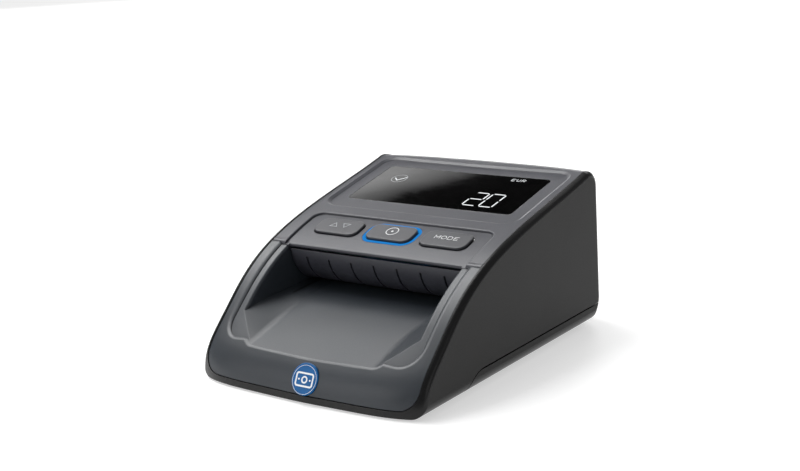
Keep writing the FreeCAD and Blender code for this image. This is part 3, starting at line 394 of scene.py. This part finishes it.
def digit(value, x, y):
    """Seven-segment digit with its lower left corner at x, y."""
    gap = DIGIT_LINE * 0.62
    middle = y + DIGIT_HEIGHT / 2
    top = y + DIGIT_HEIGHT
    right = x + DIGIT_LENGTH
    bars = {
        "a": (x + gap, top, right - gap, top),
        "b": (right, middle + gap, right, top - gap),
        "c": (right, y + gap, right, middle - gap),
        "d": (x + gap, y, right - gap, y),
        "e": (x, y + gap, x, middle - gap),
        "f": (x, middle + gap, x, top - gap),
        "g": (x + gap, middle, right - gap, middle),
    }
    faces = []
    for name in LIT[value]:
        corners = segment(*bars[name], DIGIT_LINE)
        faces.append([Vector((c.x + (c.y - y) * DIGIT_LEAN, c.y)) for c in corners])
    return faces


# Strokes of each letter in a box one wide and one high
LETTERS = {
    "D": [[(0, 0), (0, 1), (0.55, 1), (0.9, 0.8), (0.9, 0.2), (0.55, 0), (0, 0)]],
    "E": [[(0.85, 1), (0, 1), (0, 0), (0.85, 0)], [(0, 0.5), (0.7, 0.5)]],
    "M": [[(0, 0), (0, 1), (0.5, 0.3), (1, 1), (1, 0)]],
    "O": [[(0.3, 0), (0, 0.3), (0, 0.7), (0.3, 1), (0.7, 1), (1, 0.7), (1, 0.3), (0.7, 0),
           (0.3, 0)]],
    "R": [[(0, 0), (0, 1), (0.65, 1), (0.85, 0.85), (0.85, 0.6), (0.65, 0.47), (0, 0.47)],
          [(0.4, 0.47), (0.85, 0)]],
    "U": [[(0, 1), (0, 0.25), (0.25, 0), (0.65, 0), (0.9, 0.25), (0.9, 1)]],
}


def lettering(text, x, y, height, width, line):
    """Thin-line word centred on x, y. Width is one letter's, and line is the stroke's."""
    pitch = width * 1.38
    start = x - (pitch * (len(text) - 1) + width) / 2
    faces = []
    for i, letter in enumerate(text):
        left = start + pitch * i
        for points in LETTERS[letter]:
            corners = [(left + px * width, y + (py - 0.5) * height) for px, py in points]
            faces += stroke(corners, line)
    return faces


def surface_tree(node):
    return BVHTree.FromObject(nodes[node], bpy.context.evaluated_depsgraph_get())


WELD = 1e-4             # corners nearer than this are one
REACH_ABOVE = 6.0       # rays towards a marking's surface start this far above it
ABOVE_ALL = 200.0       # higher than any node, open or closed


def marking(name, faces, place, node, body, material, lift=0.02, thickness=0.04):
    """Thin solid ink: flat faces, in millimetres in the place's frame, laid on a CAD node."""
    tree = surface_tree(node)
    out = (place.to_3x3() @ Vector((0, 0, 1))).normalized()
    shape = bmesh.new()
    for corners in faces:
        verts = [shape.verts.new((c[0], c[1], 0)) for c in corners]
        shape.faces.new(verts)
    bmesh.ops.remove_doubles(shape, verts=shape.verts, dist=WELD)
    bmesh.ops.triangulate(shape, faces=shape.faces)
    bmesh.ops.recalc_face_normals(shape, faces=shape.faces)
    for face in shape.faces:
        if face.normal.z < 0:
            face.normal_flip()
    raised = bmesh.ops.extrude_face_region(shape, geom=shape.faces[:])
    top = {v for v in raised["geom"] if isinstance(v, bmesh.types.BMVert)}
    for vert in shape.verts:
        flat = place @ (vert.co * MM)
        hit = tree.ray_cast(flat + out * REACH_ABOVE * MM, -out)[0]
        height = lift + thickness if vert in top else lift
        vert.co = (hit or flat) + out * height * MM
    bmesh.ops.recalc_face_normals(shape, faces=shape.faces)
    mesh = bpy.data.meshes.new(name)
    shape.to_mesh(mesh)
    shape.free()
    piece = bpy.data.objects.new(name, mesh)
    bpy.context.collection.objects.link(piece)
    mesh.materials.append(material)
    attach(piece, body)


def surface_frame(node, x, y):
    """Frame on the top of a CAD node at x, y in millimetres, leaning with the surface there."""
    tree = surface_tree(node)
    spots = []
    for step in (-2.0, 2.0):
        hit = tree.ray_cast(Vector((x, y + step, ABOVE_ALL)) * MM, Vector((0, 0, -1)))[0]
        spots.append(hit / MM)
    run = spots[1] - spots[0]
    middle = (spots[0] + spots[1]) / 2
    return seat(x, middle.y, middle.z, math.degrees(math.atan2(run.z, run.y)))


def top_middle(node):
    """Frame on the top of a CAD node, at its middle."""
    low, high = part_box(node)
    return surface_frame(node, (low[0] + high[0]) / 2 / MM, (low[1] + high[1]) / 2 / MM)


EUR_AT = (31.6, 16.6)
TICK_AT = (-34.2, 6.4)
DIGITS_LEFT = (17.6, 27.0)
DIGITS_LOW = -14.9


def display_markings():
    """Lit signs on the lens, in millimetres from its middle."""
    white = glowing("display_white", (0.90, 0.93, 0.95), 0.95)
    dim = glowing("display_dim", (0.60, 0.61, 0.63), 0.60)
    digits = []
    for value, left in zip("20", DIGITS_LEFT):
        digits += digit(value, left, DIGITS_LOW)
    unit = lettering("EUR", *EUR_AT, height=2.3, width=2.1, line=0.24)
    tick = stroke([(-37.0, 6.8), (-34.4, 4.2), (-30.6, 8.4)], 0.55)
    tick_ring = stroke(ring(*TICK_AT, 4.3), 0.36, closed=True)

    node = "display_lens"
    place = surface_frame(node, 0.0, sum(corner[1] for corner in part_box(node)) / 2 / MM)
    for name, faces, material in (
            ("display_digits", digits, white),
            ("display_unit", unit, white),
            ("display_tick", tick, white),
            ("display_tick_ring", tick_ring, dim)):
        marking(name, faces, place, node, "cover", material)


SIGN_Y = 0.2            # the keys' signs sit this far above the middle


def key_markings():
    white = printed("ink_white", (0.72, 0.73, 0.74))
    grey = printed("ink_grey", (0.34, 0.35, 0.37))
    up = stroke([(-5.4, -1.5), (-1.2, -1.5), (-3.3, 1.7)], 0.38, closed=True)
    down = stroke([(5.4, 1.7), (1.2, 1.7), (3.3, -1.5)], 0.38, closed=True)
    circle = stroke(ring(0, SIGN_Y, 3.1), 0.42, closed=True)
    dot = [ring(0, SIGN_Y, 0.62, 24)]
    word = lettering("MODE", 0, SIGN_Y, height=2.5, width=2.6, line=0.30)
    for name, faces, node, body, ink in (
            ("key_arrows", up + down, "button_up_down", "up_down_key", grey),
            ("key_ring", circle, "button_power", "power_key", white),
            ("key_dot", dot, "button_power", "power_key", white),
            ("key_word", word, "button_mode", "mode_key", white)):
        marking(name, faces, top_middle(node), node, body, ink)


def badge_marking():
    """Generic banknote pictogram on the round front badge."""
    node = "front_badge"
    low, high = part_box(node)
    ahead = Vector(((low[0] + high[0]) / 2, low[1] - 0.02, (low[2] + high[2]) / 2))
    spot, normal = surface_tree(node).ray_cast(ahead, Vector((0, 1, 0)))[:2]
    place = seat(*(spot / MM), math.degrees(math.atan2(-normal.y, normal.z)))
    white = printed("badge_white", (0.86, 0.88, 0.90))
    note = stroke(rounded(9.2, 5.8, 1.0), 0.80, closed=True)
    coin = stroke(ring(0, 0, 1.35, 32), 0.70, closed=True)
    dots = [ring(x, 0, 0.42, 16) for x in (-3.1, 3.1)]
    rim = stroke(ring(0, 0, 6.55, 72), 0.16, closed=True)
    marking("badge_emblem", note + coin + dots + rim, place, node, "base", white,
            lift=0.01, thickness=0.05)


# Painted shadow strips in the tray's two slots, standing in for the shade inside them: where they
# lie and how wide they are, in millimetres
SLOT_SHADOW_X = 44.5
SLOT_SHADOW_FRONT = -29.8
SLOT_SHADOW_REAR = -9.2
SLOT_SHADOW_WIDTH = 1.4
SLOT_SHADOW_STEPS = 8          # the strips follow the floor in this many steps


def tray_slot_shadows():
    """Painted shadow: dark strips laid in the two slots beside the banknote's path, standing in for
    the shade inside them.
    """
    node = "front_tray"
    # painted shadow: near-black ink in place of the shade inside each slot
    shadow_ink = printed("slot_painted_shadow", (0.002, 0.002, 0.002))
    middle = (SLOT_SHADOW_FRONT + SLOT_SHADOW_REAR) / 2
    length = SLOT_SHADOW_REAR - SLOT_SHADOW_FRONT
    steps = [length * (i / SLOT_SHADOW_STEPS - 0.5) for i in range(SLOT_SHADOW_STEPS + 1)]
    strip = stroke([(0, y) for y in steps], SLOT_SHADOW_WIDTH)
    for side, x in (("left", -SLOT_SHADOW_X), ("right", SLOT_SHADOW_X)):
        marking("tray_slot_shadow_" + side, strip, surface_frame(node, x, middle), node, "base", shadow_ink)


# ---------------------------------------------------------------- camera, light and floor
# Places and sizes from here on are in metres, angles in degrees
CAMERA_AT = (0.4078, -0.5444, 0.2328)
CAMERA_AZIMUTH = 36.87
CAMERA_TILT = 14.54
CAMERA_ROLL = -3.65
CAMERA_LENS = 66.18


def set_camera():
    data = bpy.data.cameras.new("camera")
    data.lens = CAMERA_LENS
    data.clip_start = 0.01
    camera = bpy.data.objects.new("camera", data)
    bpy.context.collection.objects.link(camera)
    turn = math.radians(CAMERA_AZIMUTH)
    tilt = math.radians(CAMERA_TILT)
    roll = math.radians(CAMERA_ROLL)
    away = math.cos(tilt)
    back = Vector((math.sin(turn) * away, -math.cos(turn) * away, math.sin(tilt)))
    level = Vector((math.cos(turn), math.sin(turn), 0))
    upright = back.cross(level)
    right = level * math.cos(roll) + upright * math.sin(roll)
    up = upright * math.cos(roll) - level * math.sin(roll)
    facing = Matrix((right, up, back)).transposed().to_4x4()
    camera.matrix_world = Matrix.Translation(CAMERA_AT) @ facing
    bpy.context.scene.camera = camera


def aim(piece, place, target):
    piece.location = place
    piece.rotation_euler = (Vector(target) - Vector(place)).to_track_quat("-Z", "Y").to_euler()


def sheet(name, length, width, paint):
    """Flat staging rectangle about the origin."""
    x = length / 2
    y = width / 2
    mesh = bpy.data.meshes.new(name)
    mesh.from_pydata([(-x, -y, 0), (x, -y, 0), (x, y, 0), (-x, y, 0)], [], [(0, 1, 2, 3)])
    mesh.materials.append(paint.material)
    piece = bpy.data.objects.new(name, mesh)
    bpy.context.collection.objects.link(piece)
    return piece


CARD_AT = (-0.436, 0.45, 0.52)
CARD_TARGET = (0.0, 0.035, 0.072)
CARD_LENGTH = 0.52
CARD_WIDTH = 0.24
CARD_SLANT = 6.2        # how steeply the bright part's border runs across the card
CARD_DARK = 0.455       # the glow starts here, measured along the slant
CARD_BRIGHT = 0.700     # and is full here
CARD_GLOW = 1.8


def graded_card():
    """Studio card that the display lens mirrors: bright at one end and black over the rest."""
    paint = Paint("graded_card", (0.002, 0.002, 0.002), 0.9)
    spot = paint.add("ShaderNodeSeparateXYZ", {0: paint.place()}).outputs
    slant = paint.math("SUBTRACT", spot["X"], paint.math("MULTIPLY", spot["Y"], CARD_SLANT))
    glow = paint.remap(slant, CARD_DARK, CARD_BRIGHT, 0.0, CARD_GLOW)
    paint.feed(glow, "Emission Strength")
    paint.set("Emission Color", WHITE)
    aim(sheet("graded_card", CARD_LENGTH, CARD_WIDTH, paint), CARD_AT, CARD_TARGET)


FLOOR_SIZE = 16.0


def white_floor():
    paint = Paint("floor_white", (0.60, 0.60, 0.60), 0.6, Emission_Color=WHITE,
                  Emission_Strength=0.52)
    sheet("floor", FLOOR_SIZE, FLOOR_SIZE, paint)


def soft_world():
    world = bpy.data.worlds.new("studio")
    world.use_nodes = True
    background = world.node_tree.nodes["Background"].inputs
    background["Color"].default_value = WHITE
    background["Strength"].default_value = 0.28
    bpy.context.scene.world = world
    bpy.context.scene.view_settings.view_transform = "Standard"


MACHINE = (0.0, 0.0, 0.04)
# Name, place, target, size and power of each area light
LIGHTS = [
    ("key", (-0.75, 0.15, 1.15), MACHINE, (0.9, 0.9), 17.0),
    ("top", (-0.60, 0.00, 1.3), MACHINE, (1.2, 1.2), 6.0),
    ("front_fill", (-0.7, -1.2, 0.55), MACHINE, (0.8, 0.8), 4.0),
    ("side_fill", (1.3, -0.4, 0.5), MACHINE, (0.7, 0.7), 1.0),
    ("back_glow", (-1.2, 1.6, 0.45), MACHINE, (1.6, 0.6), 12.0),
    ("backdrop", (-0.5, 2.6, 1.9), (-0.5, 2.4, 0.0), (2.4, 1.2), 30.0),
]


def set_lights():
    for name, place, target, size, power in LIGHTS:
        data = bpy.data.lights.new(name, "AREA")
        data.shape = "RECTANGLE"
        data.size, data.size_y = size
        data.energy = power
        lamp = bpy.data.objects.new(name, data)
        bpy.context.collection.objects.link(lamp)
        aim(lamp, place, target)


dress_cad_nodes()
display_markings()
key_markings()
badge_marking()
tray_slot_shadows()
set_camera()
white_floor()
soft_world()
set_lights()
graded_card()
